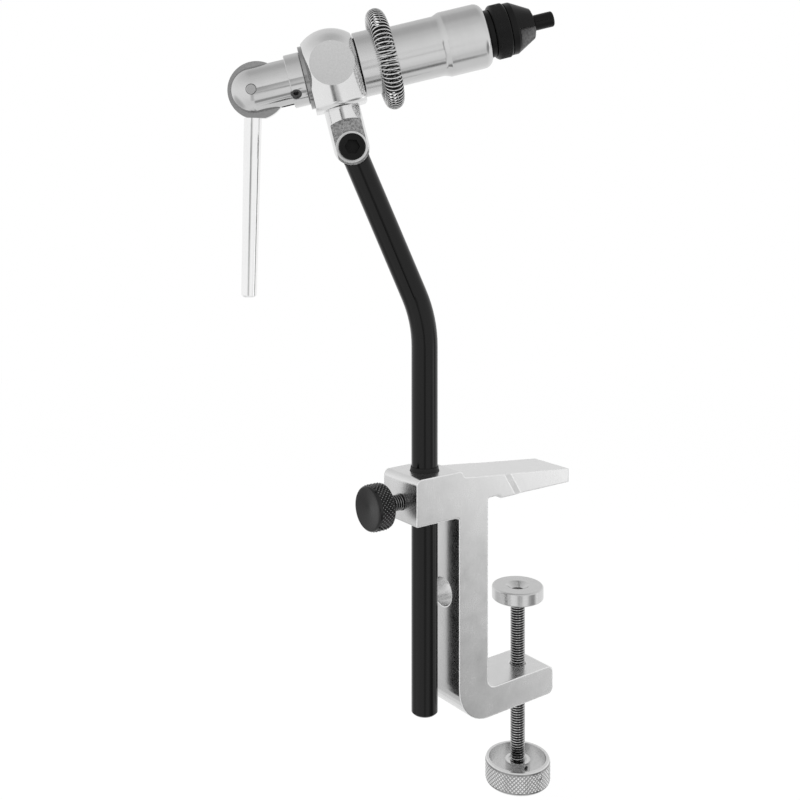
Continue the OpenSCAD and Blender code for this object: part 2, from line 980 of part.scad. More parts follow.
module material_spring() {
    points = [for (i = [0 : coil_count - 1]) each coil_ring(i)];
    faces = [
        for (i = [0 : coil_count - 1])
            let (here = i * coil_sides, next = ((i + 1) % coil_count) * coil_sides)
            for (k = [0 : coil_sides - 1])
                let (m = (k + 1) % coil_sides)
                each [[here + k, here + m, next + m], [here + k, next + m, next + k]]
    ];
    color("gray")
        at_barrel()
            translate([spring_u, 0, 0])
                rotate([0, 90, 0])
                    polyhedron(points, faces);
}

// Nose
module collet_neck() {
    color("#1d1d20")
        at_barrel()
            difference() {
                turned_along_barrel([
                    [0, barrel_end - shank_len],
                    [shank_r, barrel_end - shank_len],
                    [shank_r, barrel_end],
                    [neck_collar_r, barrel_end],
                    [neck_collar_r, barrel_end + neck_collar_len],
                    [shank_r, barrel_end + neck_collar_len],
                    [shank_r, spigot_end],
                    [0, spigot_end]
                ]);
                rod_along_barrel(rod_bore_r, barrel_end - shank_len - overrun, ring_start + overrun);
                rod_along_barrel(jaw_chamber_r, ring_start, spigot_end + overrun);
            }
}

module return_spring() {
    color("gray")
        at_barrel()
            difference() {
                rod_along_barrel(rod_bore_r + return_wall, chamber_start + 2 * rod_head_len + edge,
                    barrel_end - shank_len);
                rod_along_barrel(rod_bore_r, chamber_start, barrel_end);
            }
}

module adjust_ring() {
    color("#1d1d20")
        at_barrel()
            difference() {
                turned_along_barrel([
                    [0, ring_start],
                    [ring_r - ring_edge, ring_start],
                    [ring_r, ring_start + ring_edge],
                    [ring_r, ring_end - ring_edge],
                    [ring_r - ring_edge, ring_end],
                    [0, ring_end]
                ]);
                rod_along_barrel(shank_r + fit_gap, ring_start - overrun, ring_end + overrun);
            }
}

module nose_cone() {
    color("#1d1d20")
        at_barrel()
            difference() {
                turned_along_barrel([
                    [0, nose_start],
                    [nose_r, nose_start],
                    [nose_r, taper_start, edge],
                    [nose_tip_r, taper_end, edge],
                    [nose_face_r, nose_end],
                    [0, nose_end]
                ]);
                rod_along_barrel(shank_r + fit_gap, nose_start - overrun, nose_socket_end);
                translate([nose_socket_end - overrun, 0, 0])
                    rotate([0, 90, 0])
                        cylinder(r1 = nose_mouth_r + (nose_mouth_r - nose_bore_r) * overrun / nose_mouth_len,
                            r2 = nose_bore_r, h = nose_mouth_len + overrun);
                rod_along_barrel(nose_bore_r, nose_socket_end, nose_end + overrun);
                // Flats on both sides of the lower half
                for (side = [-1, 1])
                    translate([flat_start, side > 0 ? flat_n : -flat_n - nose_r, -flat_rise - nose_r])
                        cube([nose_end, nose_r, nose_r]);
            }
}

module push_rod() {
    collar_at = chamber_start + rod_head_len;
    color("silver")
        at_barrel() {
            rod_along_barrel(rod_core_r, -push_end, head_start + edge);
            rod_along_barrel(rod_head_r, collar_at, collar_at + rod_head_len);
            rod_along_barrel(rod_head_r, head_start, head_start + rod_head_len);
        }
}

// One half of the collet's jaws: above the split for side 1, below it for side -1
module jaw(side) {
    color("#1d1d20")
        at_barrel()
            intersection() {
                turned_along_barrel([
                    [0, jaw_pivot_u],
                    [jaw_foot_r, jaw_pivot_u],
                    [jaw_foot_r, jaw_pivot_u + jaw_foot_len],
                    [jaw_waist_r, jaw_pivot_u + jaw_foot_len],
                    [jaw_flare_r, jaw_flare_u],
                    [jaw_r, jaw_flare_end],
                    [jaw_r, jaw_end, jaw_round],
                    [0, jaw_end]
                ]);
                translate([jaw_pivot_u - overrun, -2 * jaw_foot_r,
                    side > 0 ? jaw_split : -jaw_split - jaw_end])
                    cube([jaw_end, 4 * jaw_foot_r, jaw_end]);
            }
}

module jaw_upper() {
    jaw(1);
}

module jaw_lower() {
    jaw(-1);
}

// Lever
module lever_cam() {
    color("gainsboro")
        at_lever()
            difference() {
                translate([cam_throw * cos(cam_phase), 0, cam_throw * sin(cam_phase)])
                    rotate([90, 0, 0])
                        cylinder(r = cam_r, h = cam_w, center = true, $fn = fine_steps);
                rotate([90, 0, 0])
                    cylinder(r = pin_r, h = 2 * cam_w, center = true);
                // Flat that the rod's shoulder seats on
                translate([-2 * cam_r, -cam_w, -cam_flat_z - 2 * cam_r])
                    cube([4 * cam_r, 2 * cam_w, 2 * cam_r]);
                translate([rod_x, 0, -cam_flat_z - overrun])
                    cylinder(r = stud_r + fit_gap, h = stud_len + overrun + face_gap);
            }
}

module lever_rod() {
    color("gainsboro")
        at_lever()
            translate([rod_x, 0, -cam_flat_z])
                difference() {
                    union() {
                        cylinder(r = stud_r, h = stud_len);
                        rotate([180, 0, 0])
                            rotate_extrude()
                                polygon([
                                    [0, 0],
                                    [rod_top_r, 0],
                                    [rod_end_r, rod_len - rod_edge],
                                    [rod_end_r - rod_edge, rod_len],
                                    [0, rod_len]
                                ]);
                    }
                    translate([0, 0, -rod_len - overrun])
                        cylinder(r1 = rod_dimple_r + overrun, r2 = 0, h = rod_dimple_r + overrun);
                }
}

clamp_frame();
clamp_pad();
pad_screw();
clamp_screw();
clamp_knob();
knob_set_screw();
stem_bush();
lock_pad();
lock_screw();
lock_knob();
stem();
pivot_washer();
pivot_bolt();
head_post();
rear_bush();
front_bush();
spindle();
rear_washer();
front_washer();
tail_housing();
tail_set_screws();
lever_pin();
material_spring();
collet_neck();
return_spring();
adjust_ring();
nose_cone();
push_rod();
jaw_upper();
jaw_lower();
lever_cam();
lever_rod();
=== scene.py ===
"""Rotary fly tying vise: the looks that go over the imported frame.

Lengths are in metres, in the frame's own axes: the clamp screw's axis is z,
the table face is z = 0 and the clamp's arms run along x. Only where a comment
or a docstring says so are they in millimetres.
"""
import json
import math
from collections import namedtuple

import bmesh
import bpy
from mathutils import Matrix, Vector


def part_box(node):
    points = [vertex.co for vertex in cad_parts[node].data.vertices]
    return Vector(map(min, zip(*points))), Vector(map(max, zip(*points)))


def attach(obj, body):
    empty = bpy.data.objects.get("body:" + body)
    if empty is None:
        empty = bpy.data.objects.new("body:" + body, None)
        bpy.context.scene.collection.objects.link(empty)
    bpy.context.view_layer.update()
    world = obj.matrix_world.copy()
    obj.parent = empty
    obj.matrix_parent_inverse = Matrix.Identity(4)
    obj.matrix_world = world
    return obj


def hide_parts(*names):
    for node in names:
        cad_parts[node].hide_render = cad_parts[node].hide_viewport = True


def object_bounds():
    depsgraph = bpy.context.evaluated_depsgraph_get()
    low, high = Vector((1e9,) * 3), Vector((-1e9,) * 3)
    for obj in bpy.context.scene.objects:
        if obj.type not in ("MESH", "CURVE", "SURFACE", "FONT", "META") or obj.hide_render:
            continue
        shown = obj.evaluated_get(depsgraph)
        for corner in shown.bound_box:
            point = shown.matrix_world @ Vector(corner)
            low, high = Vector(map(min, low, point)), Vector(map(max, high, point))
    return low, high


MM = 0.001
UP = Vector((0, 0, 1))

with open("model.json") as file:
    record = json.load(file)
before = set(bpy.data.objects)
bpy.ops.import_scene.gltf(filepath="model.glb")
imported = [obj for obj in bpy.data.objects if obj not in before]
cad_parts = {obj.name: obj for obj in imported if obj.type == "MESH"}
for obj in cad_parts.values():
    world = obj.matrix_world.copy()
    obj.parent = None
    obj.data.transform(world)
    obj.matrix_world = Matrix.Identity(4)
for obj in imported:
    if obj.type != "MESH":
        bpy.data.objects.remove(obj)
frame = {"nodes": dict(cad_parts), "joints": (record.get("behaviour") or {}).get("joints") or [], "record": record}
nodes = frame["nodes"]
joints = {joint["name"]: joint for joint in frame["joints"]}
body_of = {
    node: body
    for body, members in frame["record"]["behaviour"]["bodies"].items()
    for node in members
}
slot_of = {part["node"]: part["material_slot"] for part in frame["record"]["subparts"]}


def plain_box():
    return [[float(value) for value in corner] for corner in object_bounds()]


cad_box = plain_box()


# Axes of the frame, from its joints
def axes_frame(origin, along, up):
    """Matrix whose z runs along an axis and whose x is close to up."""
    z = Vector(along).normalized()
    x = (Vector(up) - z * z.dot(Vector(up))).normalized()
    y = z.cross(x)
    matrix = Matrix((x, y, z)).transposed().to_4x4()
    matrix.translation = Vector(origin)
    return matrix


screw_frame = Matrix.Identity(4)
barrel_frame = axes_frame(joints["spindle_turn"]["pos_m"], joints["spindle_turn"]["axis"], UP)
lock_frame = axes_frame(joints["lock_turn"]["pos_m"], joints["lock_turn"]["axis"], UP)
pivot_frame = axes_frame(joints["head_tilt"]["pos_m"], joints["head_tilt"]["axis"], UP)
stem_frame = axes_frame(joints["stem_swivel"]["pos_m"], UP, joints["head_tilt"]["axis"])


# Measures of the frame's nodes
# Least cosine between an axis and the normal of a surface that faces along it
FACING = 0.98


def points_about(node, place):
    """A node's corners in a frame given by a matrix."""
    inverse = place.inverted()
    return [inverse @ vertex.co for vertex in nodes[node].data.vertices]


def reach_and_height(points):
    """How far points are from the z axis, and their places along it."""
    return [math.hypot(point.x, point.y) for point in points], [point.z for point in points]


def radius_and_span(node, place):
    """The largest radius of a turned node about an axis, and where it starts and ends along it."""
    reach, height = reach_and_height(points_about(node, place))
    return max(reach), min(height), max(height)


def largest_flat(node, place):
    """Distance in millimetres from a frame's origin to a node's largest flat across its z axis."""
    inverse = place.inverted()
    turned = inverse.to_3x3()
    areas = {}
    for face in nodes[node].data.polygons:
        if abs((turned @ face.normal).z) > FACING:
            distance = round(abs((inverse @ face.center).z) / MM, 2)
            areas[distance] = areas.get(distance, 0.0) + face.area
    return max(areas, key=areas.get)


class Spring:
    """Sizes of the material spring: the ring that it makes about the barrel, and its curls."""

    def __init__(self, node, wire_radius):
        reach, height = reach_and_height(points_about(node, barrel_frame))
        self.wire_radius = wire_radius
        self.middle = (min(height) + max(height)) / 2
        self.ring_radius = (min(reach) + max(reach)) / 2
        self.curl_radius = (max(reach) - min(reach)) / 2 - wire_radius


spring = Spring("material_spring", wire_radius=0.3 * MM)


# Shader graphs
class Graph:
    """Short ways to add and join the nodes of a shader."""

    def __init__(self, tree):
        self.tree = tree
        tree.nodes.clear()

    def add(self, kind, **settings):
        node = self.tree.nodes.new(kind)
        for name, value in settings.items():
            setattr(node, name, value)
        return node

    def join(self, source, target):
        self.tree.links.new(source, target)

    def feed(self, node, values):
        """Sets a node's first inputs, each to a constant or to another node's output."""
        for value, socket in zip(values, node.inputs):
            if isinstance(value, bpy.types.NodeSocket):
                self.join(value, socket)
            else:
                socket.default_value = value

    def math(self, operation, *values):
        node = self.add("ShaderNodeMath", operation=operation)
        self.feed(node, values)
        return node.outputs[0]

    def hypotenuse(self, first, second):
        squares = [self.math("MULTIPLY", side, side) for side in (first, second)]
        return self.math("SQRT", self.math("ADD", *squares))

    def average(self, first, second, first_share):
        """The sum of two values in shares that make up 1."""
        shares = (self.math("MULTIPLY", first, first_share), self.math("MULTIPLY", second, 1 - first_share))
        return self.math("ADD", *shares)

    def dot(self, first, second):
        node = self.add("ShaderNodeVectorMath", operation="DOT_PRODUCT")
        self.feed(node, (first, second))
        return node.outputs["Value"]

    def stretch(self, point, scale):
        node = self.add("ShaderNodeVectorMath", operation="MULTIPLY")
        self.feed(node, (point, scale))
        return node.outputs[0]

    def combine(self, *parts):
        node = self.add("ShaderNodeCombineXYZ")
        self.feed(node, parts)
        return node.outputs[0]

    def spread(self, value, low, high, to_low=0.0, to_high=1.0, smooth=False):
        """A value's range moved onto another, and held there."""
        node = self.add("ShaderNodeMapRange")
        if smooth:
            node.interpolation_type = "SMOOTHSTEP"
        self.feed(node, (value, low, high, to_low, to_high))
        return node.outputs[0]

    def blend(self, share, first, second):
        """A colour that goes from the first to the second as the share goes from 0 to 1."""
        def colour_socket(sockets, name):
            return next(socket for socket in sockets if socket.name == name and socket.type == "RGBA")

        node = self.add("ShaderNodeMix", data_type="RGBA")
        self.join(share, node.inputs["Factor"])
        self.join(first, colour_socket(node.inputs, "A"))
        self.join(second, colour_socket(node.inputs, "B"))
        return colour_socket(node.outputs, "Result")

    def ramp(self, value, steps):
        """A colour ramp; each step gives a place from 0 to 1 and a grey or a colour."""
        steps = list(steps)
        node = self.add("ShaderNodeValToRGB")
        self.join(value, node.inputs[0])
        elements = node.color_ramp.elements
        while len(elements) < len(steps):
            elements.new(0.5)
        for element, (place, shade) in zip(elements, steps):
            element.position = place
            element.color = shaded(shade)
        return node.outputs[0]

    def mix_shaders(self, share, first, second):
        node = self.add("ShaderNodeMixShader")
        self.feed(node, (share, first.outputs[0], second.outputs[0]))
        return node

    def background(self, colour, strength):
        node = self.add("ShaderNodeBackground")
        self.feed(node, (colour, strength))
        return node

    def show(self, output_kind, shader):
        self.join(shader.outputs[0], self.add(output_kind).inputs["Surface"])


def shaded(level, share=1.0):
    """A grey or a colour, made darker or lighter, as a colour socket takes it."""
    colour = level if isinstance(level, tuple) else (level, level, level)
    return (*(min(1.0, channel * share) for channel in colour[:3]), 1)


# Camera at the photograph's place
CAMERA_PLACE = Vector((-0.2982, -0.3230, 0.1229))
CAMERA_AHEAD = Vector((0.5947, 0.8040, 0.0))
LENS = 48.54
SENSOR = 36
SHIFT_DOWN = 0.2739


def add_camera():
    data = bpy.data.cameras.new("camera")
    data.lens = LENS
    data.sensor_width = SENSOR
    data.shift_y = -SHIFT_DOWN
    data.clip_start = 0.01
    data.clip_end = 100
    camera = bpy.data.objects.new("camera", data)
    bpy.context.scene.collection.objects.link(camera)
    back = -CAMERA_AHEAD.normalized()
    right = UP.cross(back)
    camera.matrix_world = Matrix((right, UP, back)).transposed().to_4x4()
    camera.location = CAMERA_PLACE
    bpy.context.scene.camera = camera


# Studio: a pale room for the metal to mirror, a white floor and two lamps
# Each step of the room: degrees above the horizon, brightness
ROOM_STEPS = [
    (-90, 0.85), (-66, 0.80), (-50, 0.84), (-42, 0.88), (-30, 0.93),
    (0, 0.95), (12, 0.90), (30, 0.82), (60, 0.66), (90, 0.50),
]
# The dark upright figure behind the camera: degrees above the horizon, share of the light it takes
FIGURE_STEPS = [(-58, 0.0), (-50, 0.3), (-24, 0.4), (-18, 0.55), (3.6, 0.55), (5.4, 0.0)]
# Sine of the angle to either side at which the figure starts to fade, and at which it ends
FIGURE_CORE = 0.03
FIGURE_EDGE = 0.22
# Round patches of the room: degrees turned from the camera's side, degrees above the horizon,
# radius in degrees, share of light gained or lost at the middle
PATCHES = [
    (64, -32, 28, -0.72),
    (83, -13, 10, 0.6),
    (85, -27, 8, 0.55),
    (98, -7, 10, -0.6),
    (-11, 0, 8, -0.85),
    (12, -20, 6, -0.5),
    (26, -58, 9, -0.6),
    (57, -66, 8, -0.97),
    (-107, -36, 30, -0.4),
    (180, 20, 40, -0.12),
]
FLOOR_DROP = 0.031
FLOOR_SIZE = 60.0
FLOOR_PAINT = 0.95
# Between these two distances from the vise the floor fades into the white backdrop
FLOOR_NEAR = 0.25
FLOOR_FAR = 1.2
# Near the vise: share of glow in the floor, and the glow's brightness
FLOOR_GLOW = 0.86
FLOOR_LIGHT = 1.03


def direction(turn, height):
    """Unit vector turned from the camera's side about z, and raised, in degrees."""
    level = Matrix.Rotation(math.radians(turn), 3, "Z") @ -CAMERA_AHEAD.normalized()
    height = math.radians(height)
    return level * math.cos(height) + UP * math.sin(height)


def round_patch(graph, ray, turn, height, radius, gain):
    """A factor that goes from 1 to 1 + gain towards the middle of a round patch of the room."""
    nearness = graph.dot(ray, direction(turn, height))
    inside = graph.spread(nearness, math.cos(math.radians(radius)), 1.0, smooth=True)
    return graph.math("ADD", graph.math("MULTIPLY", inside, gain), 1.0)


def by_height(graph, ray, steps):
    """A grey that changes with the ray's height; steps give degrees above the horizon and the grey."""
    height = graph.spread(graph.dot(ray, UP), -1, 1)
    return graph.ramp(height, [((math.sin(math.radians(angle)) + 1) / 2, shade) for angle, shade in steps])


def figure_shade(graph, ray):
    """A narrow upright dark shape behind the camera, which polished metal mirrors as a thin line."""
    aside = graph.math("ABSOLUTE", graph.dot(ray, direction(90, 0)))
    narrow = graph.spread(aside, FIGURE_CORE, FIGURE_EDGE, 1.0, 0.0, smooth=True)
    in_front = graph.math("GREATER_THAN", graph.dot(ray, direction(0, 0)), 0.0)
    figure = graph.math("MULTIPLY", narrow, in_front)
    return graph.math("SUBTRACT", 1.0, graph.math("MULTIPLY", figure, by_height(graph, ray, FIGURE_STEPS)))


def add_world():
    """The room for what the metal mirrors, and plain white for what the camera sees."""
    world = bpy.data.worlds.new("studio")
    bpy.context.scene.world = world
    world.use_nodes = True
    graph = Graph(world.node_tree)
    ray = graph.add("ShaderNodeTexCoord").outputs["Generated"]
    strength = figure_shade(graph, ray)
    for patch in PATCHES:
        strength = graph.math("MULTIPLY", strength, round_patch(graph, ray, *patch))
    room = graph.background(by_height(graph, ray, ROOM_STEPS), strength)
    backdrop = graph.background(shaded(1.0), 1.0)
    seen = graph.add("ShaderNodeLightPath").outputs["Is Camera Ray"]
    graph.show("ShaderNodeOutputWorld", graph.mix_shaders(seen, room, backdrop))


def add_softbox(name, turn, height, distance, size, power):
    """A round lamp that shines on the vise's middle and isn't mirrored."""
    data = bpy.data.lights.new(name, "AREA")
    data.shape = "DISK"
    data.size = size
    data.energy = power
    lamp = bpy.data.objects.new(name, data)
    bpy.context.scene.collection.objects.link(lamp)
    middle = (Vector(cad_box[0]) + Vector(cad_box[1])) / 2
    away = direction(turn, height)
    lamp.location = middle + away * distance
    lamp.rotation_euler = away.to_track_quat("Z", "Y").to_euler()
    lamp.visible_glossy = False


def floor_material():
    """White paint for the light, and mostly a glow for the eye, so that only a faint shadow shows."""
    material = bpy.data.materials.new("floor")
    material.use_nodes = True
    graph = Graph(material.node_tree)
    reach = graph.add("ShaderNodeVectorMath", operation="LENGTH")
    graph.join(graph.add("ShaderNodeTexCoord").outputs["Object"], reach.inputs[0])
    distance = reach.outputs["Value"]
    share = graph.spread(distance, FLOOR_NEAR, FLOOR_FAR, FLOOR_GLOW, 1.0, smooth=True)
    light = graph.spread(distance, FLOOR_NEAR, FLOOR_FAR, FLOOR_LIGHT, 1.0, smooth=True)
    path = graph.add("ShaderNodeLightPath")
    seen = graph.math("MAXIMUM", path.outputs["Is Camera Ray"], path.outputs["Is Glossy Ray"])
    seen = graph.math("MAXIMUM", seen, path.outputs["Is Transmission Ray"])
    paint = graph.add("ShaderNodeBsdfDiffuse")
    paint.inputs["Color"].default_value = shaded(FLOOR_PAINT)
    glow = graph.add("ShaderNodeEmission")
    graph.feed(glow, (shaded(1.0), light))
    shown = graph.mix_shaders(graph.math("MULTIPLY", seen, share), paint, glow)
    graph.show("ShaderNodeOutputMaterial", shown)
    return material


def add_floor():
    height = cad_box[0][2] - FLOOR_DROP
    half = FLOOR_SIZE / 2
    mesh = bpy.data.meshes.new("floor")
    corners = [(x, y, height) for x, y in ((-half, -half), (half, -half), (half, half), (-half, half))]
    mesh.from_pydata(corners, [], [(0, 1, 2, 3)])
    mesh.materials.append(floor_material())
    floor = bpy.data.objects.new("floor", mesh)
    bpy.context.scene.collection.objects.link(floor)
    floor.visible_glossy = False


# Surfaces: noises in millimetres, and masks for what was machined otherwise and for painted light and shade
CLOUD_SCALE = 0.12
SPECK_SCALE = 2.6
GRIT_SCALE = 1.3
CLOUD_DETAIL = 3.0
MARK_DETAIL = 4.0
SPECK_DETAIL = 2.0
NOISE_ROUGHNESS = 0.55
# Share of the marks in what makes the colour stray, with clouds as the rest, and share of the clouds
# in what makes the roughness stray, with specks as the rest
MARKS_IN_PAINT = 0.5
CLOUDS_IN_ROUGHNESS = 0.6
# Values of the noises between which the colour of a surface, its roughness and a patch's colour go
# from their lowest to their highest
PAINT_SPAN = (0.32, 0.68)
ROUGH_SPAN = (0.3, 0.7)
GRIT_SPAN = (0.35, 0.65)
# Share by which a surface's roughness strays from its middle
ROUGHNESS_WANDER = 0.25
# Cosines between the true and the rounded normal where the painted edge highlight starts, and where it is
# brightest
EDGE_START = 0.99
EDGE_FULL = 0.9
EDGE_SAMPLES = 8
# Specks of the painted highlight on rounded edges: place in the noise, brightness
EDGE_HIGHLIGHT_SPECKS = [(0.3, 0.95), (0.7, 1.0)]
# Shares of the spring wire's radius at which the painted shade between its coils gives way to a painted highlight,
# and where the highlight is full
COIL_SHADE = (0.15, 0.85)


def local_parts(graph, place):
    """x, y and z of the point on the piece, in a frame given by a matrix, in millimetres."""
    point = graph.add("ShaderNodeTexCoord").outputs["Object"]
    inverse = place.inverted()
    parts = []
    for row in range(3):
        shifted = graph.math("ADD", graph.dot(point, inverse[row][:3]), inverse[row][3])
        parts.append(graph.math("MULTIPLY", shifted, 1 / MM))
    return parts


def noise(graph, point, scale, detail=CLOUD_DETAIL):
    node = graph.add("ShaderNodeTexNoise")
    graph.join(point, node.inputs["Vector"])
    node.inputs["Scale"].default_value = scale
    node.inputs["Detail"].default_value = detail
    node.inputs["Roughness"].default_value = NOISE_ROUGHNESS
    return node.outputs["Fac"]


def lathe_point(graph, parts):
    """Where turning marks are drawn from: distance from the axis and height, the same all the way round."""
    return graph.combine(graph.hypotenuse(parts[0], parts[1]), parts[2])


def mottled(graph, pattern, span, level, tint):
    """A grey or a colour that strays from its middle by a share, as a noise goes through a span."""
    return graph.ramp(pattern, zip(span, (shaded(level, 1 - tint), shaded(level, 1 + tint))))


def facing(graph, place, least=FACING):
    """A mask that is 1 where the surface faces along the z of a frame, to either side."""
    normal = graph.add("ShaderNodeNewGeometry").outputs["True Normal"]
    turned_to = graph.math("ABSOLUTE", graph.dot(normal, place.to_3x3() @ UP))
    return graph.math("GREATER_THAN", turned_to, least)


def cam_sides(graph):
    """A mask that is 1 on the flat sides of the lever's cam and 0 on its rim."""
    return facing(graph, pivot_frame)


def flats(distance, slack=0.2, least=FACING):
    """A mask that is 1 on flats across the pivot's axis, at a distance from its origin in millimetres."""
    def mask(graph):
        height = graph.math("ABSOLUTE", local_parts(graph, pivot_frame)[2])
        off = graph.math("ABSOLUTE", graph.math("SUBTRACT", height, distance))
        return graph.math("MULTIPLY", facing(graph, pivot_frame, least), graph.math("LESS_THAN", off, slack))
    return mask


def below_rim(node, place, start, full):
    """A mask that goes from 0 to 1 between two depths under a turned node's rim, in millimetres."""
    radius = radius_and_span(node, place)[0] / MM

    def mask(graph):
        parts = local_parts(graph, place)
        return graph.spread(graph.hypotenuse(parts[0], parts[1]), radius - start, radius - full)
    return mask


def coil_painted_light(graph):
    """A mask for the spring's painted light: 1 on the outer side of the wire, painted as a highlight, and 0
    between its coils, painted as shade.
    """
    parts = local_parts(graph, barrel_frame)
    out = graph.math("SUBTRACT", graph.hypotenuse(parts[0], parts[1]), spring.ring_radius / MM)
    along = graph.math("SUBTRACT", parts[2], spring.middle / MM)
    dark, bright = ((spring.curl_radius + share * spring.wire_radius) / MM for share in COIL_SHADE)
    return graph.spread(graph.hypotenuse(out, along), dark, bright)


# The flat round the pivot bolt under its washer, the round flats at the post's front and back, and the
# flats on both sides of the nose cone
spot_face = flats(radius_and_span("pivot_washer", pivot_frame)[1] / MM)
disc_face = flats(largest_flat("head_post", pivot_frame), slack=0.1)
nose_flats = flats(largest_flat("nose_cone", pivot_frame), least=0.97)

# A part of a surface with its own colour, roughness and marks: some were machined otherwise, others are painted
# light and shade
Patch = namedtuple("Patch", "mask level roughness tint depth", defaults=(0.0,))


def rounded_and_highlit_edges(graph, radius):
    """The normal with edges rounded to a radius in millimetres, and a mask that is 1 on those edges, where a
    painted highlight goes.
    """
    rounding = graph.add("ShaderNodeBevel", samples=EDGE_SAMPLES)
    rounding.inputs["Radius"].default_value = radius * MM
    normal = rounding.outputs["Normal"]
    true_normal = graph.add("ShaderNodeNewGeometry").outputs["Normal"]
    return normal, graph.spread(graph.dot(normal, true_normal), EDGE_START, EDGE_FULL)


def surface(name, place, level, roughness, grain, depth, metallic=1.0, specular=0.5, turned=False,
            tint=0.04, patches=(), highlit_edge=0.0):
    """A procedural metal or plastic.

    place: the frame that the grain follows. level: a grey, or a colour.
    grain: marks per millimetre along x, y and z of that frame, or out from its z axis and along it
    on a turned piece. depth: height of the marks in millimetres.
    tint: how far the colour strays from its middle, as a share.
    patches: the parts of the surface that were machined otherwise, or that carry painted light and shade.
    highlit_edge: radius in millimetres to which the edges are rounded in the normal, and over which they are
    painted brighter as a highlight.
    """
    material = bpy.data.materials.new(name)
    material.use_nodes = True
    graph = Graph(material.node_tree)
    parts = local_parts(graph, place)
    point = graph.combine(*parts)
    grain_point = lathe_point(graph, parts) if turned else point
    marks = noise(graph, graph.stretch(grain_point, grain), 1.0, MARK_DETAIL)
    clouds = noise(graph, point, CLOUD_SCALE)
    specks = noise(graph, point, SPECK_SCALE, SPECK_DETAIL)

    paint = mottled(graph, graph.average(marks, clouds, MARKS_IN_PAINT), PAINT_SPAN, level, tint)
    rough = graph.spread(graph.average(clouds, specks, CLOUDS_IN_ROUGHNESS), *ROUGH_SPAN,
                         roughness * (1 - ROUGHNESS_WANDER), roughness * (1 + ROUGHNESS_WANDER))
    height = graph.math("MULTIPLY", marks, depth)
    for patch in patches:
        mask = patch.mask(graph)
        grit = noise(graph, point, GRIT_SCALE)
        raised = graph.math("MULTIPLY", graph.math("MULTIPLY", mask, grit), patch.depth)
        paint = graph.blend(mask, paint, mottled(graph, grit, GRIT_SPAN, patch.level, patch.tint))
        rough = graph.math("ADD", rough, graph.math("MULTIPLY", mask, patch.roughness - roughness))
        height = graph.math("ADD", height, raised)

    bump = graph.add("ShaderNodeBump")
    bump.inputs["Strength"].default_value = 1.0
    bump.inputs["Distance"].default_value = MM
    graph.join(height, bump.inputs["Height"])
    # Edges rounded in the normal, and painted brighter as a highlight
    if highlit_edge:
        normal, edge_highlight = rounded_and_highlit_edges(graph, highlit_edge)
        graph.join(normal, bump.inputs["Normal"])
        paint = graph.blend(edge_highlight, paint, graph.ramp(specks, EDGE_HIGHLIGHT_SPECKS))

    shader = graph.add("ShaderNodeBsdfPrincipled")
    shader.inputs["Metallic"].default_value = metallic
    shader.inputs["Specular IOR Level"].default_value = specular
    graph.join(paint, shader.inputs["Base Color"])
    graph.join(rough, shader.inputs["Roughness"])
    graph.join(bump.outputs["Normal"], shader.inputs["Normal"])
    graph.show("ShaderNodeOutputMaterial", shader)
    return material


# Finishes
# Grains that several finishes share, in marks per millimetre
DRAWN = (7, 7, 0.3)
TURNED = (6, 3, 0.4)
COARSELY_TURNED = (6, 9, 0.5)
POLISHED = (2.5, 2.5, 0.5)
LAPPED = (2, 2, 2)
TUMBLED = (5, 5, 5)
CAST = (3, 3, 3)
BLACK = {"metallic": 0.0, "tint": 0.3}

# Each material slot's settings of its finish
SLOT_FINISHES = {
    # Its edges are painted brighter as a highlight
    "satin_aluminium": dict(place=screw_frame, level=0.80, roughness=0.24, grain=DRAWN, depth=0.002,
                            tint=0.06, highlit_edge=0.7),
    "turned_aluminium": dict(place=screw_frame, level=0.66, roughness=0.2, grain=TURNED, depth=0.006,
                             turned=True),
    "satin_barrel": dict(place=barrel_frame, level=0.66, roughness=0.17, grain=(4, 7, 0.4), depth=0.0008,
                         turned=True),
    "polished_aluminium": dict(place=barrel_frame, level=0.66, roughness=0.1, grain=POLISHED, depth=0.001),
    "polished_steel": dict(place=barrel_frame, level=0.93, roughness=0.16, grain=LAPPED, depth=0.0003,
                           tint=0.02),
    "bright_steel": dict(place=barrel_frame, level=0.74, roughness=0.16, grain=TUMBLED, depth=0.002),
    "dark_thread": dict(place=screw_frame, level=0.12, roughness=0.25, grain=CAST, depth=0.002, tint=0.2),
    "black_steel": dict(place=barrel_frame, level=0.004, roughness=0.3, grain=COARSELY_TURNED, depth=0.003,
                        turned=True, specular=0.16, **BLACK),
    "black_anodised": dict(place=stem_frame, level=0.002, roughness=0.2, grain=DRAWN, depth=0.0015,
                           specular=0.36, **BLACK),
    "spring_steel": dict(place=barrel_frame, level=0.4, roughness=0.12, grain=TUMBLED, depth=0.001,
                         tint=0.08),
    "black_nylon": dict(place=barrel_frame, level=0.006, roughness=0.45, grain=CAST, depth=0.004,
                        specular=0.25, **BLACK),
    "brass": dict(place=barrel_frame, level=(0.75, 0.56, 0.24), roughness=0.25, grain=TUMBLED, depth=0.002),
    "bronze": dict(place=barrel_frame, level=(0.55, 0.36, 0.2), roughness=0.35, grain=TUMBLED, depth=0.003),
}
slot_finishes = {slot: surface(slot, **settings) for slot, settings in SLOT_FINISHES.items()}

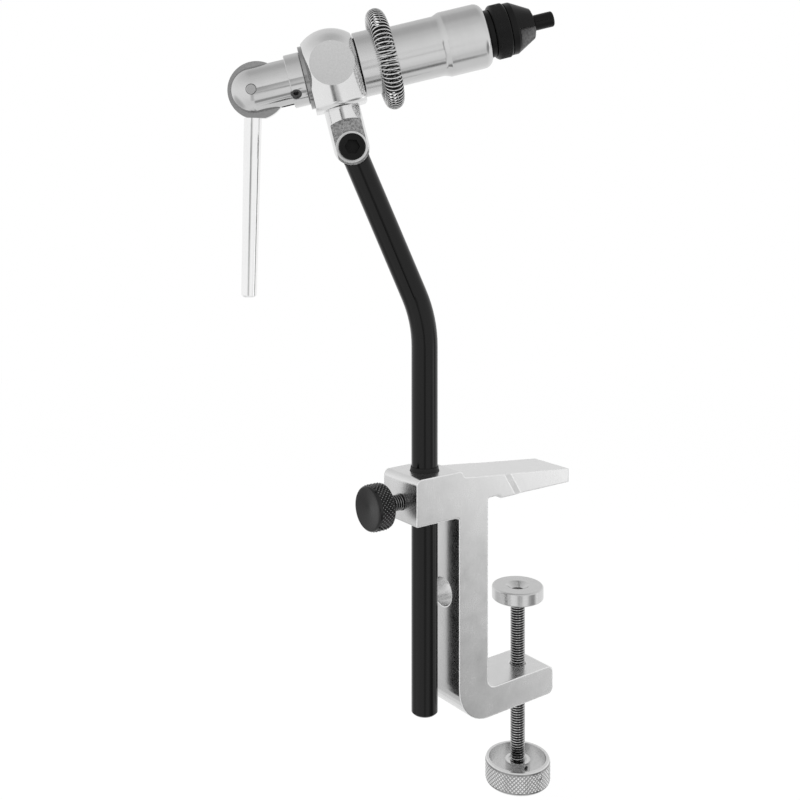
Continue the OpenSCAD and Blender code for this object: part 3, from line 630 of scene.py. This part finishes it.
# Nodes whose finish differs a little from that of their slot
node_finishes = {
    "stem": surface(
        "black_stem", stem_frame, level=0.001, roughness=0.14, grain=DRAWN, depth=0.0015, specular=0.3,
        **BLACK),
    # The knurl's valleys are painted dark as shade, and its tips light as a highlight
    "clamp_knob": surface(
        "knurled_aluminium", screw_frame, level=0.32, roughness=0.22, grain=TURNED, depth=0.006, turned=True,
        patches=[
            # The tips of the knurl, painted light as a highlight
            Patch(below_rim("clamp_knob", screw_frame, 0.24, 0.06), level=0.92, roughness=0.2, tint=0.04),
            # The faces and the hub inside it
            Patch(below_rim("clamp_knob", screw_frame, 0.32, 0.37), level=0.78, roughness=0.2, tint=0.04),
        ]),
    "lock_knob": surface(
        "black_knob", lock_frame, level=0.002, roughness=0.2, grain=DRAWN, depth=0.0015, turned=True,
        specular=0.4, **BLACK,
        patches=[
            # The tips of the knurl, painted lighter as a highlight
            Patch(below_rim("lock_knob", lock_frame, 0.16, 0.0), level=0.3, roughness=0.25, tint=0.1),
        ]),
    "lever_cam": surface(
        "steel_cam", barrel_frame, level=0.8, roughness=0.1, grain=LAPPED, depth=0.0003, tint=0.02,
        patches=[
            Patch(cam_sides, level=0.36, roughness=0.3, tint=0.05, depth=0.004),
        ]),
    # The wire is painted near black between the coils as shade, and bright on its outer side as a highlight
    "material_spring": surface(
        "spring_coils", barrel_frame, level=0.02, roughness=0.3, grain=TUMBLED, depth=0.001, tint=0.2,
        patches=[
            Patch(coil_painted_light, level=0.85, roughness=0.1, tint=0.05),
        ]),
    "head_post": surface(
        "satin_post", barrel_frame, level=0.80, roughness=0.14, grain=POLISHED, depth=0.0012,
        patches=[
            Patch(disc_face, level=0.66, roughness=0.2, tint=0.03, depth=0.001),
            Patch(spot_face, level=0.36, roughness=0.45, tint=0.35, depth=0.1),
        ]),
    "rear_washer": surface(
        "dark_washer", barrel_frame, level=0.36, roughness=0.14, grain=TUMBLED, depth=0.002, tint=0.1),
    "lever_pin": surface(
        "dull_pin", barrel_frame, level=0.52, roughness=0.25, grain=TUMBLED, depth=0.002),
    "nose_cone": surface(
        "black_nose", barrel_frame, level=0.004, roughness=0.3, grain=COARSELY_TURNED, depth=0.003,
        turned=True, specular=0.16, **BLACK,
        patches=[
            # The flats, painted lighter as a highlight
            Patch(nose_flats, level=0.14, roughness=0.35, tint=0.25, depth=0.03),
        ]),
    # The thread's roots are painted near black as shade, and its crests lighter
    "clamp_screw": surface(
        "clamp_screw_steel", screw_frame, level=0.03, roughness=0.3, grain=CAST, depth=0.002, tint=0.3,
        patches=[
            # The thread's crests
            Patch(below_rim("clamp_screw", screw_frame, 0.42, 0.1), level=0.55, roughness=0.18, tint=0.3,
                  depth=0.01),
        ]),
    # The thread's roots are painted near black as shade, and its crests lighter
    "lock_screw": surface(
        "lock_screw_steel", lock_frame, level=0.03, roughness=0.3, grain=CAST, depth=0.002, tint=0.3,
        patches=[
            # The thread's crests
            Patch(below_rim("lock_screw", lock_frame, 0.42, 0.1), level=0.3, roughness=0.2, tint=0.3,
                  depth=0.01),
        ]),
}


def finish_of(node):
    return node_finishes.get(node, slot_finishes[slot_of[node]])


# Pieces
WELD_DISTANCE = 0.002 * MM
# How far from a turned node's largest radius its outer wall may lie
WALL_SLACK = 0.02 * MM
# Angle below which neighbouring triangles count as one flat face
FLAT_ANGLE = math.radians(0.02)
# Angle above which an edge is rounded
EDGE_ANGLE = math.radians(28)
ROUNDING_SEGMENTS = 3
SCREW_PITCH = 1 * MM
THREAD_DEPTH = 0.6 * SCREW_PITCH
# One turn of a thread, from root to root: share of the pitch, and whether the point is on the crest
THREAD_PROFILE = [(0.0, False), (0.1, False), (0.4, True), (0.64, True), (0.92, False)]
THREAD_SIDES = 32
# Points along one curl of the spring, and roundness of its wire
CURL_STEPS = 20
WIRE_RESOLUTION = 3
# Radius of the gap in the clamp knob's knurl at the grub screw
GRUB_OPENING_RADIUS = 0.95 * MM


def place_piece(name, shape, node, instead=True):
    """Puts a piece on the body of its node, in that node's material.

    instead: whether the piece takes the node's place, or goes with a piece that already has.
    """
    piece = bpy.data.objects.new(name, shape)
    bpy.context.scene.collection.objects.link(piece)
    shape.materials.clear()
    shape.materials.append(finish_of(node))
    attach(piece, body_of[node])
    if instead:
        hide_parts(node)
    return piece


def on_circle(place, radius, angle, height):
    """A point about the z axis of a frame."""
    return place @ Vector((radius * math.cos(angle), radius * math.sin(angle), height))


def joined_mesh(node):
    """A node's mesh as one skin, with the triangles of each flat face dissolved."""
    work = bmesh.new()
    work.from_mesh(nodes[node].data)
    bmesh.ops.remove_doubles(work, verts=work.verts, dist=WELD_DISTANCE)
    bmesh.ops.dissolve_degenerate(work, edges=work.edges, dist=WELD_DISTANCE)
    bmesh.ops.dissolve_limit(work, angle_limit=FLAT_ANGLE, verts=work.verts, edges=work.edges)
    return work


def mesh_from(work, name):
    mesh = bpy.data.meshes.new(name)
    work.to_mesh(mesh)
    work.free()
    return mesh


def smooth_piece(work, node):
    """A node's reworked skin in place of the node."""
    name = node + "_finished"
    mesh = mesh_from(work, name)
    mesh.shade_smooth()
    return place_piece(name, mesh, node)


def soften(piece, edge):
    """Rounds a piece's edges as a deburring tool or a tumbler does, to a width in millimetres."""
    bevel = piece.modifiers.new("rounded_edges", "BEVEL")
    bevel.width = edge * MM
    bevel.segments = ROUNDING_SEGMENTS
    bevel.limit_method = "ANGLE"
    bevel.angle_limit = EDGE_ANGLE
    bevel.use_clamp_overlap = True
    bevel.miter_outer = "MITER_ARC"
    even = piece.modifiers.new("even_normals", "WEIGHTED_NORMAL")
    even.mode = "FACE_AREA_WITH_ANGLE"
    even.weight = 90
    even.keep_sharp = False


def plain(node):
    """A piece with a node's own skin, whose rounds are already even."""
    place_piece(node + "_finished", nodes[node].data.copy(), node)


def machined(node, edge):
    """A piece with a node's skin and edges rounded to a width in millimetres."""
    soften(smooth_piece(joined_mesh(node), node), edge)


def shrink_outside(node, place, radius, depth):
    """A copy of a node with its outer wall sunk, where a knurled band goes over it."""
    work = joined_mesh(node)
    inverse = place.inverted()
    for vertex in work.verts:
        local = inverse @ vertex.co
        reach = math.hypot(local.x, local.y)
        if abs(reach - radius) < WALL_SLACK:
            local.x *= (radius - depth) / reach
            local.y *= (radius - depth) / reach
            vertex.co = place @ local
    return smooth_piece(work, node)


def knurled_band(node, place, radius, low, high, count, depth, opening):
    """A ring of small pyramids round an axis, with a bevelled strip at both ends.

    opening: the middle and the radius of a round gap in the band, for a cross hole, or nothing.
    """
    columns = 2 * count
    side = 2 * math.pi * radius / columns
    rows = max(2, 2 * round((high - low) / side / 2))
    heights = [low + (high - low) * (row / rows) for row in range(rows + 1)]
    heights = [low - depth, *heights, high + depth]
    work = bmesh.new()
    grid = []
    for row, height in enumerate(heights):
        at_end = row in (0, len(heights) - 1)
        ring = []
        for column in range(columns):
            sunk = at_end or (row + column) % 2 == 1
            reach = radius - depth if sunk else radius
            ring.append(work.verts.new(on_circle(place, reach, math.pi * column / count, height)))
        grid.append(ring)
    for row in range(len(heights) - 1):
        for column in range(columns):
            beside = (column + 1) % columns
            here, right = grid[row][column], grid[row][beside]
            above, slant = grid[row + 1][column], grid[row + 1][beside]
            if (row + column) % 2 == 0:
                work.faces.new((here, right, above))
                work.faces.new((right, slant, above))
            else:
                work.faces.new((here, right, slant))
                work.faces.new((here, slant, above))
    if opening:
        middle, reach = opening
        hidden = [face for face in work.faces if (face.calc_center_median() - middle).length < reach]
        bmesh.ops.delete(work, geom=hidden, context="FACES")
    name = node + "_knurl"
    place_piece(name, mesh_from(work, name), node, instead=False)


def knurled(node, place, edge, count, depth, below, above, opening=None):
    """A turned piece with rounded edges and a knurled band of pyramids on its rim.

    edge, depth, below and above are in millimetres: the rounding, the knurl's depth, and the plain
    strips under and over the band. count: pyramids in a circle.
    """
    radius, low, high = radius_and_span(node, place)
    soften(shrink_outside(node, place, radius, depth * MM), edge)
    knurled_band(node, place, radius, low + below * MM, high - above * MM, count, depth * MM, opening)


def threaded_rod(node, place):
    """A screw with a real helix: root, flank and crest for each turn, cut square at both ends."""
    radius, low, high = radius_and_span(node, place)
    root = radius - THREAD_DEPTH
    turns = int((high - low) / SCREW_PITCH) + 2
    work = bmesh.new()
    columns = []
    for side in range(THREAD_SIDES):
        angle = 2 * math.pi * side / THREAD_SIDES
        column = []
        for turn in range(-1, turns):
            for share, on_crest in THREAD_PROFILE:
                height = low + (turn + share + side / THREAD_SIDES) * SCREW_PITCH
                reach = radius if on_crest and low < height < high else root
                column.append(work.verts.new(on_circle(place, reach, angle, min(max(height, low), high))))
        columns.append(column)
    for side, column in enumerate(columns):
        ahead = columns[(side + 1) % THREAD_SIDES]
        # From the last side to the first the helix has risen by one turn
        rise = len(THREAD_PROFILE) if side == THREAD_SIDES - 1 else 0
        for step in range(len(column) - 1 - rise):
            work.faces.new((column[step + rise], ahead[step], ahead[step + 1], column[step + rise + 1]))
    bmesh.ops.remove_doubles(work, verts=work.verts, dist=WELD_DISTANCE)
    bmesh.ops.dissolve_degenerate(work, edges=work.edges, dist=WELD_DISTANCE)
    bmesh.ops.holes_fill(work, edges=[edge for edge in work.edges if edge.is_boundary], sides=0)
    bmesh.ops.recalc_face_normals(work, faces=work.faces)
    name = node + "_thread"
    place_piece(name, mesh_from(work, name), node)


def garter_spring(node, curls):
    """One closed coil of round wire, wound round a ring about the barrel."""
    curve = bpy.data.curves.new(node + "_coil", "CURVE")
    curve.dimensions = "3D"
    curve.bevel_depth = spring.wire_radius
    curve.bevel_resolution = WIRE_RESOLUTION
    spline = curve.splines.new("POLY")
    total = curls * CURL_STEPS
    spline.points.add(total - 1)
    for index, point in enumerate(spline.points):
        turn = 2 * math.pi * index / total
        reach = spring.ring_radius + spring.curl_radius * math.cos(turn * curls)
        height = spring.middle + spring.curl_radius * math.sin(turn * curls)
        point.co = (*on_circle(barrel_frame, reach, turn, height), 1)
    spline.use_cyclic_u = True
    place_piece(node + "_coil", curve, node)


def grub_mouth():
    """Where the hole of the clamp knob's grub screw opens in the rim."""
    low, high = (Vector(corner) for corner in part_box("knob_set_screw"))
    middle = (low + high) / 2
    return Vector((middle.x, -radius_and_span("clamp_knob", screw_frame)[0], middle.z))


def build_clamp():
    plain("clamp_frame")
    machined("clamp_pad", edge=0.15)
    machined("pad_screw", edge=0.15)
    threaded_rod("clamp_screw", screw_frame)
    knurled("clamp_knob", screw_frame, edge=0.2, count=52, depth=0.25, below=1.2, above=1.2,
            opening=(grub_mouth(), GRUB_OPENING_RADIUS))
    machined("knob_set_screw", edge=0.1)


def build_lock():
    machined("stem_bush", edge=0.1)
    machined("lock_pad", edge=0.1)
    threaded_rod("lock_screw", lock_frame)
    knurled("lock_knob", lock_frame, edge=0.2, count=36, depth=0.4, below=0.8, above=1.4)


def build_head():
    machined("stem", edge=0.3)
    machined("pivot_washer", edge=0.15)
    machined("pivot_bolt", edge=0.2)
    plain("head_post")
    machined("rear_bush", edge=0.1)
    machined("front_bush", edge=0.1)


def build_rotor():
    machined("spindle", edge=0.25)
    machined("rear_washer", edge=0.12)
    machined("front_washer", edge=0.12)
    machined("tail_housing", edge=0.25)
    machined("tail_set_screws", edge=0.12)
    machined("lever_pin", edge=0.12)
    garter_spring("material_spring", curls=70)
    machined("collet_neck", edge=0.2)
    knurled("adjust_ring", barrel_frame, edge=0.15, count=80, depth=0.12, below=1.0, above=1.0)
    machined("nose_cone", edge=0.2)
    machined("push_rod", edge=0.15)
    machined("return_spring", edge=0.15)
    machined("jaw_upper", edge=0.05)
    machined("jaw_lower", edge=0.05)


def build_lever():
    machined("lever_cam", edge=0.25)
    plain("lever_rod")


add_camera()
add_world()
add_floor()
add_softbox("key_softbox", turn=-35, height=40, distance=0.9, size=0.7, power=4.0)
add_softbox("fill_softbox", turn=50, height=30, distance=1.0, size=0.8, power=2.0)
build_clamp()
build_lock()
build_head()
build_rotor()
build_lever()

view = bpy.context.scene.view_settings
view.view_transform = "Standard"
